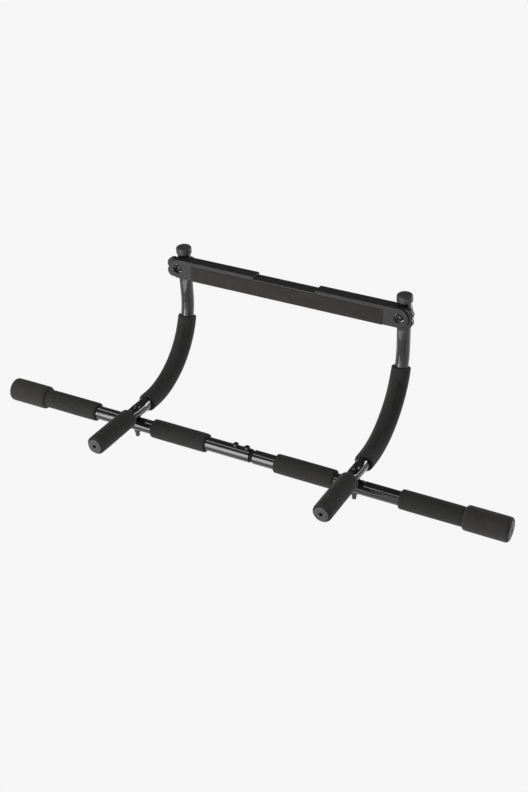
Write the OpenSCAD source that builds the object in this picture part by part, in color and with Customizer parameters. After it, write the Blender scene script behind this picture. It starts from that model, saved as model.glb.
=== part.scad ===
// Doorway pull-up bar: a two-piece long bar, two J-shaped arms and a padded top beam.
// X runs along the long bar, -Y faces the user, +Z is up.
// The origin is the centre of the wall pad's face.

/* [Overall] */
// Length of the long bar over its end plugs
bar_length = 970; // [800:1:1200]
// Distance between the two arms' centre lines
arm_spacing = 428; // [340:1:520]
// Distance from the wall pad's face forward to the long bar's axis
reach = 156; // [130:1:190]
// Height of the wall pad's centre above the long bar's axis
drop = 236; // [195:1:285]

/* [Long bar] */
// Outer diameter of the long bar
bar_d = 25; // [22:0.5:32]
// Wall of every steel tube
tube_wall = 1.5; // [1:0.1:2]
// Where the left tube ends, right of the middle
seam_x = 18.5; // [16:0.5:30]
// Bare neck showing between the two tubes
neck_gap = 5.5; // [2:0.5:8]
// Length of the neck inside the left tube
neck_insert = 54; // [40:1:80]
// Radial play between the neck and the left tube
neck_play = 0.3; // [0.1:0.05:0.5]
// Length of the cone between the neck and the right tube
shoulder_length = 2.5; // [1:0.5:6]

/* [Bar joint screws] */
// Distance between the two joint screws
joint_pitch = 22; // [16:1:28]
// Diameter of a joint screw's shank
joint_screw_d = 6; // [5:0.5:8]
// Diameter of a joint screw's head
joint_head_d = 10.5; // [9:0.5:14]
// Height of a joint screw's head above the tube
joint_head_h = 5; // [3:0.5:7]
// Rounding of a joint screw's head
joint_head_edge = 2.5; // [1:0.5:3]
// Length of a joint screw below the tube's top
joint_screw_length = 15; // [12:1:20]
// Width of the square nut inside the neck
joint_nut_w = 10; // [8:0.5:13]
// Thickness of the square nut
joint_nut_h = 5; // [4:0.5:7]

/* [Foam] */
// Thickness of the foam on the bar's hand grips
grip_t = 4.5; // [3:0.5:8]
// Thickness of the foam on the arms and their handles
arm_foam_t = 5; // [3:0.5:8]
// Thickness of the foam of the end bumpers
bumper_t = 8.75; // [6:0.25:12]
// Length of an end bumper
bumper_length = 77.5; // [50:0.5:90]
// Length of an inner hand grip on the bar
inner_grip_length = 110; // [80:1:125]
// Bare tube between an arm's centre and the inner grip
inner_grip_gap = 36; // [20:1:40]
// Bare tube between an arm's centre and the outer grip
outer_grip_gap = 83; // [20:1:90]
// Rounding of a hand grip's edges
grip_edge = 2; // [0.5:0.5:4]
// Rounding of a bumper's edges
bumper_edge = 5; // [1:0.5:8]

/* [Arms] */
// Outer diameter of the arm tubes
arm_d = 24; // [20:0.5:28]
// Centre-line radius of the arm's bend
bend_r = 140; // [110:1:170]
// Forward lean of the arm's top
arm_lean = 4.3; // [0:0.1:8]
// Distance from the long bar's axis forward to the arm tube's end
handle_reach = 129; // [100:1:160]
// Space between the arm and the long bar where they cross
cross_gap = 0.3; // [0.2:0.1:1]
// Depth of the pressed flats
press_depth = 3.5; // [2:0.5:4]
// Half length of the flat under the crossing bolt
cross_flat = 11; // [9:1:16]
// Length of the slope at each end of the crossing flat
cross_ramp = 13; // [8:1:20]
// Half length of the flat behind the beam
beam_flat = 21; // [19:1:24]
// Round tube between the bend and the slope that leads to the beam's flat
beam_ramp_gap = 2; // [0.5:0.5:4]
// Height of the arm tube's end above the beam
arm_top_rise = 14; // [13:1:20]

/* [Arm foam] */
// Bare tube between the long bar's axis and the front handle grip
handle_grip_gap = 25; // [20:1:40]
// Distance from the long bar's axis back to the arm foam's start
arm_foam_start = 34; // [28:1:45]
// Bend angle at which the arm foam ends
arm_foam_angle = 78; // [50:1:85]

/* [End plugs] */
// Diameter of the handle plugs' flange
handle_plug_d = 26; // [24:0.5:30]
// Thickness of the handle plugs' flange
handle_plug_h = 4; // [2.5:0.5:6]
// Diameter of the bar plugs' flange
bar_plug_d = 31; // [28:0.5:38]
// Thickness of the bar plugs' flange
bar_plug_h = 3; // [2.5:0.5:5]
// How far a bar plug stands out of its bumper
plug_proud = 0.5; // [0.5:0.5:2]
// Play between a bar plug's flange and the bumper around it
plug_play = 0.3; // [0.2:0.1:0.5]
// Length of a plug's stem inside its tube
plug_stem = 14; // [8:1:25]
// Wall of a plug's stem
plug_wall = 1.5; // [1:0.1:3]
// Diameter of the vent hole in a plug's face
vent_d = 6.5; // [3:0.5:8]
// Rounding of a plug's edge
plug_edge = 2; // [0.5:0.5:2]

/* [Arm caps] */
// Diameter of the caps on the arms' tops
cap_d = 28; // [26:0.5:30]
// Height of a cap
cap_h = 12; // [8:0.5:12]
// Thickness of a cap's top
cap_top_t = 3; // [2:0.5:5]
// Rounding of a cap's top edge
cap_edge = 4; // [1:0.5:5]

/* [Crossing bolts] */
// Diameter of the large bolts' shanks
bolt_d = 8; // [6:0.5:10]
// Play around a bolt in its holes
bolt_play = 0.3; // [0.1:0.05:0.6]
// Diameter of a large bolt's head
bolt_head_d = 14; // [12:0.5:16]
// Height of a large bolt's head
bolt_head_h = 4.4; // [3:0.1:6]
// Width across flats of a head's socket
socket_w = 5; // [4:0.5:6]
// Diameter of the large flat washers
washer_d = 16; // [14:0.5:17]
// Thickness of the washers
washer_h = 1.2; // [0.8:0.1:2]
// Length of the bolt's tail below the long bar
tail_length = 15; // [8:1:20]
// Outer diameter of the threaded bushing's sleeve
bushing_d = 10; // [9.5:0.5:12]
// Height of the bushing's sleeve inside the long bar
bushing_rise = 7; // [4:0.5:9]
// Diameter of the bushing's collar
collar_d = 11; // [10.5:0.5:15]
// Height of the bushing's collar below the long bar
collar_h = 4.5; // [1:0.5:7]

/* [Beam] */
// Height of the beam at its ends
beam_height = 36; // [32:1:44]
// Depth of the beam
beam_depth = 24; // [22:0.5:26]
// Length of the beam past each arm's centre line
beam_end = 23; // [20:0.5:26]
// Half length of the lower middle of the beam
middle_half = 60; // [40:1:90]
// How much lower the middle of the beam is
middle_step = 4.5; // [2:0.5:6]
// Rounding of the beam's long edges
beam_edge = 2; // [1:0.5:3]
// Radius of each lobe on the beam's ends
lobe_r = 11; // [9:0.5:13]
// Thickness of the round plate in front of the lobes
end_plate_t = 3; // [2:0.5:5]
// Depth of the lobes behind the round plate
lobe_t = 12; // [8:0.5:16]
// Depth from the beam's face to the arm tube's centre line
arm_set_back = 26.4; // [25:0.1:29]
// Thickness of the steel core
core_t = 5; // [4:0.5:6]
// Height of the steel core
core_h = 24; // [20:1:28]
// Plastic in front of the steel core
core_cover = 6; // [5:0.5:7]
// Play between the core and the shells
core_play = 0.2; // [0.1:0.05:0.4]
// Play between the arm tubes and their seats in the beam
groove_play = 0.3; // [0.1:0.05:0.5]
// Diameter of the recess around a beam bolt's head
recess_d = 17; // [15.5:0.5:20]

/* [Wall pad] */
// Distance from a beam bolt's axis to the pad's end
pad_inset = 29; // [20:1:60]
// Height of the pad
pad_h = 28; // [20:1:30]
// Thickness of the pad
pad_t = 3; // [2:0.5:4]
// How far the pad stands out of the beam's face
pad_proud = 0.6; // [0.2:0.1:1.5]
// Gap around the pad in its recess
pad_gap = 0.5; // [0.2:0.1:1]

/* [Beam nuts] */
// Width across flats of the cap nuts
nut_w = 13; // [11:0.5:15]
// Height of the cap nut's hexagon
nut_h = 7; // [5:0.5:9]
// Thickness of the curved washer at its thinnest
saddle_h = 2; // [1:0.5:4]

/* [Hidden] */
$fn = 96;

// Cuts pass this far beyond the surface they open.
over = 1;

// Long bar
bar_r = bar_d / 2;
tube_end = bar_length / 2 - bar_plug_h;
bumper_end = bar_length / 2 - plug_proud;
bumper_start = bumper_end - bumper_length;
bar_inner = bar_d - 2 * tube_wall;
neck_d = bar_inner - 2 * neck_play;
neck_inner = neck_d - 2 * tube_wall;
neck_start = seam_x - neck_insert;
shoulder_start = seam_x + neck_gap;
shoulder_end = shoulder_start + shoulder_length;

// Arms, in the side plane: first value is Y, second is Z
arm_x = arm_spacing / 2;
arm_r = arm_d / 2;
cross_rise = bar_r + arm_r + cross_gap;
arm_base_z = -drop + cross_rise;
beam_face_y = pad_proud;
beam_bottom_z = -pad_h / 2;
beam_top_z = beam_bottom_z + beam_height;
bolt_z = beam_bottom_z + beam_height / 2;
arm_bolt_y = beam_face_y + arm_set_back;
bend_y = arm_bolt_y + (bolt_z - arm_base_z - bend_r) * tan(arm_lean) - bend_r / cos(arm_lean);
bend_centre = [bend_y, arm_base_z + bend_r];
top_start_z = bend_centre[1] + bend_r * sin(arm_lean);
arm_top_z = beam_top_z + arm_top_rise;
top_length = (arm_top_z - top_start_z) / cos(arm_lean);
bolt_along = (bolt_z - top_start_z) / cos(arm_lean);
handle_end_y = -reach - handle_reach;
base_length = bend_y - handle_end_y;
cross_along = -bend_y - reach;
arm_inner = arm_d - 2 * tube_wall;
foam_run = bend_y + reach - arm_foam_start;
grip_d = bar_d + 2 * grip_t;
bumper_d = bar_d + 2 * bumper_t;
arm_foam_d = arm_d + 2 * arm_foam_t;

// Pressed flats, as slope start, flat start, flat end and slope end along each stretch
cross_press = [
    cross_along - cross_flat - cross_ramp, cross_along - cross_flat,
    cross_along + cross_flat, cross_along + cross_flat + cross_ramp
];
beam_press = [
    beam_ramp_gap, bolt_along - beam_flat,
    bolt_along + beam_flat - over, bolt_along + beam_flat + over
];

// The bend's two stretches meet under the foam, over a sleeve inside the tube's wall.
weld_angle = 40;
weld_gap = 0.02;
weld_lap = 1;
weld_inset = 0.6;

// Crossing
cross_seat_z = cross_rise + arm_r - press_depth;
hole_d = bolt_d + 2 * bolt_play;

// Beam
beam_back_y = beam_face_y + beam_depth;
core_y = beam_face_y + core_cover;
lobe_y = beam_face_y + end_plate_t;
lobe_offset = beam_height / 2 - lobe_r;
lobe_x = arm_x + beam_end - lobe_r;
slot_end = lobe_x + lobe_r / 2;
pad_half = arm_x - pad_inset;
nut_seat_y = arm_bolt_y + arm_r + saddle_h;

steel = "#151515";
foam = "#2b2a28";
plastic = "#404040";
plug_grey = "#606060";
zinc = "#303032";
rubber = "#3f3a39";

// Places children at both arms; the children are drawn for the right arm.
module both_sides() {
    for (side = [-1, 1]) {
        translate([side * arm_x, 0, 0]) children();
    }
}

// Mirrors children drawn for the right half onto the left half.
module to_left() {
    mirror([1, 0, 0]) children();
}

// Turns a shape drawn in the XY plane into the YZ plane, thickness along X.
module side_plane() {
    rotate([90, 0, 90]) children();
}

// Moves children to the long bar's axis.
module at_bar() {
    translate([0, -reach, -drop]) children();
}

// Solid rod along X from x0 to x1.
module rod_x(d, x0, x1) {
    translate([x0, 0, 0]) rotate([0, 90, 0]) cylinder(d = d, h = x1 - x0);
}

// Hollow foam sleeve along X with rounded outer edges.
module sleeve_x(outer, inner, x0, x1, edge) {
    length = x1 - x0;
    translate([x0, 0, 0])
        rotate([0, 90, 0])
        rotate_extrude()
        sleeve_profile(outer / 2, inner / 2, length, edge);
}

// Half section of a sleeve: the radius runs along X and the length along Y.
module sleeve_profile(r_out, r_in, length, edge) {
    translate([r_in, 0]) square([r_out - edge - r_in, length]);
    translate([r_in, edge]) square([r_out - r_in, length - 2 * edge]);
    translate([r_out - edge, length - edge]) quarter_disc(edge);
    translate([r_out - edge, edge]) mirror([0, 1]) quarter_disc(edge);
}

// Quarter of a disc, with its corner at the origin.
module quarter_disc(r) {
    intersection() {
        circle(r = r);
        square(r);
    }
}

// Plug along +Z: its flange starts at z = 0 and its stem goes down into the tube.
module plug(flange_d, flange_h, stem_d) {
    difference() {
        union() {
            rotate_extrude() rounded_profile(flange_d / 2, flange_h, plug_edge);
            translate([0, 0, -plug_stem]) cylinder(d = stem_d, h = plug_stem + flange_h / 2);
        }
        translate([0, 0, -over]) cylinder(d = vent_d, h = flange_h + 2 * over);
        translate([0, 0, -plug_stem - over])
            cylinder(d = stem_d - 2 * plug_wall, h = plug_stem + over);
    }
}

// Half section of a disc with a rounded upper edge.
module rounded_profile(r, h, edge) {
    square([r, h - edge]);
    square([r - edge, h]);
    translate([r - edge, h - edge]) quarter_disc(edge);
}

// Hexagonal socket cut, pointing down from z = 0.
module socket_cut(depth) {
    translate([0, 0, -depth]) cylinder(d = socket_w / cos(30), h = depth + over, $fn = 6);
}

// Button head with a flat seat at z = 0 and a domed top.
module button_head(d, h) {
    dome_r = (d * d / 4 + h * h) / (2 * h);
    difference() {
        intersection() {
            translate([0, 0, h - dome_r]) sphere(r = dome_r);
            cylinder(d = d, h = h);
        }
        translate([0, 0, h]) socket_cut(h / 2);
    }
}

// ---- Long bar ----

module bar_left_tube() {
    color(steel) at_bar() difference() {
        rod_x(bar_d, -tube_end, seam_x);
        rod_x(bar_inner, -tube_end - over, seam_x + over);
        translate([-arm_x, 0, 0]) cross_holes();
        joint_holes();
    }
}

module bar_right_tube() {
    color(steel) at_bar() difference() {
        union() {
            rod_x(bar_d, shoulder_end, tube_end);
            rod_x(neck_d, neck_start, shoulder_end);
            translate([shoulder_start, 0, 0])
                rotate([0, 90, 0])
                cylinder(d1 = neck_d, d2 = bar_d, h = shoulder_length);
        }
        rod_x(neck_inner, neck_start - over, shoulder_end + over);
        rod_x(bar_inner, shoulder_end, tube_end + over);
        translate([arm_x, 0, 0]) cross_holes();
        joint_holes();
    }
}

// Places children at both joint screws.
module at_joints() {
    for (side = [-1, 1]) {
        translate([side * joint_pitch / 2, 0, 0]) children();
    }
}

// Holes for the joint screws through the top wall.
module joint_holes() {
    at_joints() cylinder(d = joint_screw_d + 2 * bolt_play, h = bar_d);
}

// Bolt hole through the bar's top wall and bushing hole through its bottom wall.
module cross_holes() {
    cylinder(d = hole_d, h = bar_d);
    translate([0, 0, -bar_d]) cylinder(d = bushing_d, h = bar_d);
}

module joint_screws() {
    head_base = sqrt(bar_r * bar_r - joint_head_d * joint_head_d / 4);
    head_top = bar_r + joint_head_h;
    color(zinc) at_bar() at_joints() {
        difference() {
            translate([0, 0, head_base])
                rotate_extrude()
                rounded_profile(joint_head_d / 2, head_top - head_base, joint_head_edge);
            rod_x(bar_d, -joint_head_d, joint_head_d);
            translate([0, 0, head_top]) socket_cut(joint_head_h / 2);
        }
        translate([0, 0, bar_r - joint_screw_length])
            cylinder(d = joint_screw_d, h = joint_screw_length + joint_head_h / 3);
    }
}

module joint_nuts() {
    color(zinc) at_bar() at_joints() difference() {
        intersection() {
            rod_x(neck_inner, -joint_nut_w / 2, joint_nut_w / 2);
            translate([-joint_nut_w / 2, -joint_nut_w / 2, neck_inner / 2 - joint_nut_h])
                cube([joint_nut_w, joint_nut_w, joint_nut_h]);
        }
        cylinder(d = joint_screw_d, h = bar_d);
    }
}

module bar_plug() {
    color(plug_grey) at_bar()
        translate([tube_end, 0, 0])
        rotate([0, 90, 0])
        plug(bar_plug_d, bar_plug_h, bar_inner);
}

module bumper() {
    color(foam) at_bar() difference() {
        sleeve_x(bumper_d, bar_d, bumper_start, bumper_end, bumper_edge);
        rod_x(bar_plug_d + 2 * plug_play, tube_end, bumper_end + over);
    }
}

module outer_grip() {
    color(foam) at_bar()
        sleeve_x(grip_d, bar_d, arm_x + outer_grip_gap, bumper_start, grip_edge);
}

module inner_grip() {
    grip_end = arm_x - inner_grip_gap;
    color(foam) at_bar()
        sleeve_x(grip_d, bar_d, grip_end - inner_grip_length, grip_end, grip_edge);
}

// ---- Arms ----

// Moves children to the centre of the arm's bend, in the side plane.
module bend_frame() {
    side_plane() translate([bend_centre[0], bend_centre[1], 0]) children();
}

// Frame where the base meets the bend: +X points away from the bend's centre and -Y runs
// along the base to the handle's end.
module base_frame() {
    bend_frame() rotate([0, 0, -90]) translate([bend_r, 0, 0]) children();
}

// Frame where the bend meets the leaning top: +X points away from the bend's centre and
// +Y runs up the top.
module top_frame() {
    bend_frame() rotate([0, 0, arm_lean]) translate([bend_r, 0, 0]) children();
}

// Solid rod along Y from y0 to y1.
module rod_y(d, y0, y1) {
    translate([0, y0, 0]) rotate([-90, 0, 0]) cylinder(d = d, h = y1 - y0);
}

// Section ring of a hollow round tube.
module ring(outer, inner) {
    difference() {
        circle(d = outer);
        circle(d = inner);
    }
}

// Prism that presses the tube's inner-bend side flat between the slopes, sunk by the inset.
module press_prism(press, inset) {
    top = -arm_r + inset;
    translate([0, 0, -arm_d])
        linear_extrude(2 * arm_d)
        polygon([
            [top, press[0]], [top + press_depth, press[1]],
            [top + press_depth, press[2]], [top, press[3]],
            [-arm_d, press[3]], [-arm_d, press[0]]
        ]);
}

// Straight stretch of arm tube along Y with one pressed flat. Each end of the bore passes
// the tube's end by its own extra.
module pressed_tube(y0, y1, press, extra0, extra1) {
    difference() {
        rod_y(arm_d, y0, y1);
        press_prism(press, 0);
        difference() {
            rod_y(arm_inner, y0 - extra0, y1 + extra1);
            press_prism(press, tube_wall);
        }
    }
}

// Stretch of the bend's tube that starts on the +X axis and turns by the given angle.
module bend_ring(angle, outer, inner) {
    rotate_extrude(angle = angle) translate([bend_r, 0]) ring(outer, inner);
}

module arm() {
    upper_angle = 90 + arm_lean - weld_angle - weld_gap;
    color(steel) translate([arm_x, 0, 0]) difference() {
        union() {
            base_frame() {
                pressed_tube(-base_length, 0, cross_press, over, 0);
                translate([-bend_r, 0, 0]) bend_ring(weld_angle, arm_d, arm_inner);
            }
            bend_frame()
                rotate([0, 0, weld_angle - 90 - weld_lap])
                bend_ring(2 * weld_lap + weld_gap, arm_d - weld_inset, arm_inner + weld_inset);
            top_frame() {
                pressed_tube(0, top_length, beam_press, 0, over);
                translate([-bend_r, 0, 0]) bend_ring(-upper_angle, arm_d, arm_inner);
            }
        }
        translate([0, -reach, -drop]) cylinder(d = hole_d, h = drop / 2);
        translate([0, 0, bolt_z]) rotate([-90, 0, 0]) cylinder(d = hole_d, h = 2 * arm_bolt_y);
    }
}

module arm_foam() {
    color(foam) translate([arm_x, 0, 0]) base_frame() {
        difference() {
            rod_y(arm_foam_d, -foam_run, 0);
            rod_y(arm_d, -foam_run - over, 0);
        }
        translate([-bend_r, 0, 0]) bend_ring(arm_foam_angle, arm_foam_d, arm_d);
    }
}

module handle_grip() {
    color(foam)
        translate([arm_x, handle_end_y, arm_base_z])
        rotate([-90, 0, 0])
        rotate_extrude()
        sleeve_profile(arm_foam_d / 2, arm_r, handle_reach - handle_grip_gap, grip_edge);
}

module handle_plug() {
    color(plug_grey)
        translate([arm_x, handle_end_y, arm_base_z])
        rotate([90, 0, 0])
        plug(handle_plug_d, handle_plug_h, arm_inner);
}

module top_cap() {
    color(plug_grey)
        translate([arm_x, 0, 0])
        top_frame()
        translate([0, top_length + cap_top_t - cap_h, 0])
        rotate([-90, 0, 0])
        difference() {
            rotate_extrude() rounded_profile(cap_d / 2, cap_h, cap_edge);
            translate([0, 0, -over]) cylinder(d = arm_d, h = cap_h - cap_top_t + over);
        }
}

// ---- Crossing hardware ----

module cross_bolts() {
    head_seat = cross_seat_z + washer_h;
    tail_z = -bar_r - tail_length;
    color(zinc) at_bar() both_sides() {
        translate([0, 0, head_seat]) button_head(bolt_head_d, bolt_head_h);
        translate([0, 0, tail_z + bolt_d / 2])
            cylinder(d = bolt_d, h = head_seat - tail_z - bolt_d / 2 + bolt_head_h / 3);
        translate([0, 0, tail_z + bolt_d / 2]) sphere(d = bolt_d);
    }
}

module cross_washers() {
    color(zinc) at_bar() both_sides() translate([0, 0, cross_seat_z]) difference() {
        cylinder(d = washer_d, h = washer_h);
        translate([0, 0, -over]) cylinder(d = hole_d, h = washer_h + 2 * over);
    }
}

module cross_bushings() {
    collar_z = -bar_r - collar_h;
    seat_rise = bar_r - sqrt(bar_r * bar_r - collar_d * collar_d / 4);
    color(zinc) at_bar() both_sides() difference() {
        union() {
            difference() {
                translate([0, 0, collar_z]) cylinder(d = collar_d, h = collar_h + seat_rise);
                rod_x(bar_d, -collar_d, collar_d);
            }
            translate([0, 0, collar_z]) cylinder(d = bushing_d, h = collar_h + bushing_rise);
        }
        translate([0, 0, collar_z - over])
            cylinder(d = bolt_d, h = collar_h + bushing_rise + 2 * over);
    }
}

// ---- Beam ----

// Rounded bar section in the YZ plane, extruded along X from x0 to x1.
module beam_block(x0, x1, height) {
    r = beam_edge;
    translate([x0, 0, 0]) side_plane() linear_extrude(x1 - x0) {
        translate([beam_face_y + r, beam_bottom_z]) square([beam_depth - 2 * r, height]);
        translate([beam_face_y, beam_bottom_z + r]) square([beam_depth, height - 2 * r]);
        for (y = [beam_face_y + r, beam_back_y - r], z = [r, height - r]) {
            translate([y, beam_bottom_z + z]) circle(r = r);
        }
    }
}

// Disc with a horizontal axis along Y and rounded edges at both faces.
module beam_disc(r, y0, y1) {
    translate([0, y0, 0])
        rotate([-90, 0, 0])
        rotate_extrude()
        sleeve_profile(r, 0, y1 - y0, beam_edge);
}

// Rounded end with two lobes behind its round front plate.
module beam_end_form() {
    translate([arm_x, 0, bolt_z]) beam_disc(beam_height / 2, beam_face_y, beam_back_y);
    for (z = [-lobe_offset, lobe_offset]) {
        translate([lobe_x, 0, bolt_z + z])
            beam_disc(lobe_r, lobe_y, lobe_y + lobe_t);
    }
}

// Slot for the steel core, open towards the middle of the beam.
module core_slot(x0, x1) {
    translate([x0, core_y - core_play, bolt_z - core_h / 2 - core_play])
        cube([x1 - x0, core_t + 2 * core_play, core_h + 2 * core_play]);
}

// Recess for the wall pad, open at the beam's lower edge.
module pad_recess() {
    length = 2 * (pad_half + pad_gap);
    translate([-length / 2, -over, beam_bottom_z - over])
        cube([length, pad_t + over, pad_h + pad_gap + over]);
}

module beam_shell_end() {
    color(plastic) difference() {
        union() {
            beam_block(middle_half, arm_x, beam_height);
            beam_end_form();
        }
        core_slot(middle_half - over, slot_end);
        pad_recess();
        translate([arm_x, beam_face_y - over, bolt_z])
            rotate([-90, 0, 0])
            cylinder(d = recess_d, h = core_cover + over);
        translate([arm_x, beam_face_y, bolt_z])
            rotate([-90, 0, 0])
            cylinder(d = hole_d, h = 2 * beam_depth);
        translate([arm_x, 0, 0]) arm_groove();
    }
}

// The arm's pressed tube with play all round, to cut its seat in the beam.
module arm_groove() {
    top_frame() difference() {
        rod_y(arm_d + 2 * groove_play, bolt_along - beam_height, bolt_along + beam_height);
        translate([press_depth - groove_play - arm_r - arm_d, bolt_along - 2 * beam_height, -arm_d])
            cube([arm_d, 4 * beam_height, 2 * arm_d]);
    }
}

module beam_shell_middle() {
    color(plastic) difference() {
        beam_block(-middle_half, middle_half, beam_height - middle_step);
        core_slot(-middle_half - over, middle_half + over);
        pad_recess();
    }
}

module beam_core() {
    core_end = slot_end - core_play;
    color(steel) difference() {
        translate([-core_end, core_y, bolt_z - core_h / 2])
            cube([2 * core_end, core_t, core_h]);
        both_sides()
            translate([0, core_y - over, bolt_z])
            rotate([-90, 0, 0])
            cylinder(d = hole_d, h = core_t + 2 * over);
    }
}

module beam_pad() {
    color(rubber)
        translate([-pad_half, 0, beam_bottom_z])
        cube([2 * pad_half, pad_t, pad_h]);
}

module beam_bolts() {
    shank_end = nut_seat_y + nut_h;
    color(zinc) both_sides() translate([0, core_y, bolt_z]) {
        rotate([90, 0, 0]) button_head(bolt_head_d, bolt_head_h);
        translate([0, -bolt_head_h / 3, 0])
            rotate([-90, 0, 0])
            cylinder(d = bolt_d, h = shank_end - core_y + bolt_head_h / 3);
    }
}

module beam_saddle_washers() {
    color(zinc) both_sides() difference() {
        translate([0, arm_bolt_y, bolt_z])
            rotate([-90, 0, 0])
            cylinder(d = washer_d, h = arm_r + saddle_h);
        top_frame() rod_y(arm_d, bolt_along - washer_d, bolt_along + washer_d);
        translate([0, 0, bolt_z]) rotate([-90, 0, 0]) cylinder(d = hole_d, h = 2 * nut_seat_y);
        translate([-washer_d, 0, bolt_z - washer_d]) cube([2 * washer_d, arm_bolt_y, 2 * washer_d]);
    }
}

module beam_cap_nuts() {
    color(zinc) both_sides() translate([0, nut_seat_y, bolt_z]) rotate([-90, 0, 0]) difference() {
        union() {
            cylinder(d = nut_w / cos(30), h = nut_h, $fn = 6);
            translate([0, 0, nut_h]) intersection() {
                sphere(d = nut_w);
                cylinder(d = nut_w, h = nut_w);
            }
        }
        translate([0, 0, -over]) cylinder(d = bolt_d, h = nut_h + over);
    }
}

bar_left_tube();
bar_right_tube();
joint_screws();
joint_nuts();
to_left() bar_plug();  // bar_plug_left
bar_plug();  // bar_plug_right
to_left() bumper();  // bumper_left
bumper();  // bumper_right
to_left() outer_grip();  // outer_grip_left
outer_grip();  // outer_grip_right
to_left() inner_grip();  // inner_grip_left
inner_grip();  // inner_grip_right
to_left() arm();  // arm_left
arm();  // arm_right
to_left() arm_foam();  // arm_foam_left
arm_foam();  // arm_foam_right
to_left() handle_grip();  // handle_grip_left
handle_grip();  // handle_grip_right
to_left() handle_plug();  // handle_plug_left
handle_plug();  // handle_plug_right
to_left() top_cap();  // top_cap_left
top_cap();  // top_cap_right
cross_bolts();
cross_washers();
cross_bushings();
beam_core();
to_left() beam_shell_end();  // beam_shell_left
beam_shell_end();  // beam_shell_right
beam_shell_middle();
beam_pad();
beam_bolts();
beam_saddle_washers();
beam_cap_nuts();
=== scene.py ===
"""Looks of a doorway pull up bar: foam sleeves, gloss tubes, a moulded beam and its hardware.

Everything is in metres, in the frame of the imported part: +X along the long bar, -Y towards
the user and +Z up, with the origin at the centre of the wall pad's face.
"""

import logging
import math
from dataclasses import dataclass
from enum import Enum
from typing import Callable, Iterable, Sequence

import bmesh
import bpy
import numpy as np
from mathutils import Matrix, Vector, noise


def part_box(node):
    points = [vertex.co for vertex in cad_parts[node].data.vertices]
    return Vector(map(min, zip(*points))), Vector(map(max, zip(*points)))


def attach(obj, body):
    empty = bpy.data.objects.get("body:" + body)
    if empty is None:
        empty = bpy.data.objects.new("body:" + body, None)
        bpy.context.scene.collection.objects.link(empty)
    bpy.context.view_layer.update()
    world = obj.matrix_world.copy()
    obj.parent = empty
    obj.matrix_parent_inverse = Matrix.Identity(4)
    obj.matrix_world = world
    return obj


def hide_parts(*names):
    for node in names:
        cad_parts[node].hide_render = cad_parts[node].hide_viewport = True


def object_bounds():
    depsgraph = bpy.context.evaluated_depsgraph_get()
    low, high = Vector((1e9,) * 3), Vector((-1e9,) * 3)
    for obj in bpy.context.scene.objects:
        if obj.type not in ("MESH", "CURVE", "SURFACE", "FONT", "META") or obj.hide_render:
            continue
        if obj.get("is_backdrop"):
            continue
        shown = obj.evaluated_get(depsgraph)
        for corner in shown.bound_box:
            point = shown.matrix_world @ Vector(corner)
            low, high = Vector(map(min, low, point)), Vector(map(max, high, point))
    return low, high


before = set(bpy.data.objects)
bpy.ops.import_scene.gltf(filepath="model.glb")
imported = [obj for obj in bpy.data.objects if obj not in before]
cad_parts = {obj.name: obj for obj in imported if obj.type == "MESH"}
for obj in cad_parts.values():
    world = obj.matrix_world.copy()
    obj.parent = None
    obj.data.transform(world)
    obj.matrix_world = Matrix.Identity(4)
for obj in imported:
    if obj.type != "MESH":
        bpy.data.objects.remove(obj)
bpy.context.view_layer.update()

logging.basicConfig(level=logging.INFO, format="%(name)s: %(message)s")
log = logging.getLogger("pull_up_bar")

MM = 0.001
BODY = "root"
SEED_RANGE = 97

Piece = bpy.types.Object
Material = bpy.types.Material
Socket = bpy.types.NodeSocket
Colour = tuple[float, float, float]
Place = tuple[float, float, float]
Profile = list[tuple[float, float]]
Tones = tuple[tuple[float, float], ...]


class Side(Enum):
    """Which half of the bar a piece belongs to."""

    LEFT = -1
    RIGHT = 1

    @property
    def word(self) -> str:
        """The side's name as the nodes spell it."""
        return self.name.lower()


class Slot(Enum):
    """The record's material slots."""

    TUBE = "black_tube"
    HARDWARE = "black_hardware"
    ZINC = "zinc_hardware"
    GRIP = "grip_foam"
    BUMPER = "bumper_foam"
    BEAM = "beam_plastic"
    PAD = "wall_pad"
    PLUG = "grey_plug"


# ---- Node graphs ----


@dataclass(frozen=True)
class Layer:
    """One layer of fractal noise: features per metre, octaves, roughness and stretch."""

    scale: float
    detail: float = 3.0
    roughness: float = 0.5
    stretch: tuple[float, float, float] = (1.0, 1.0, 1.0)


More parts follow.
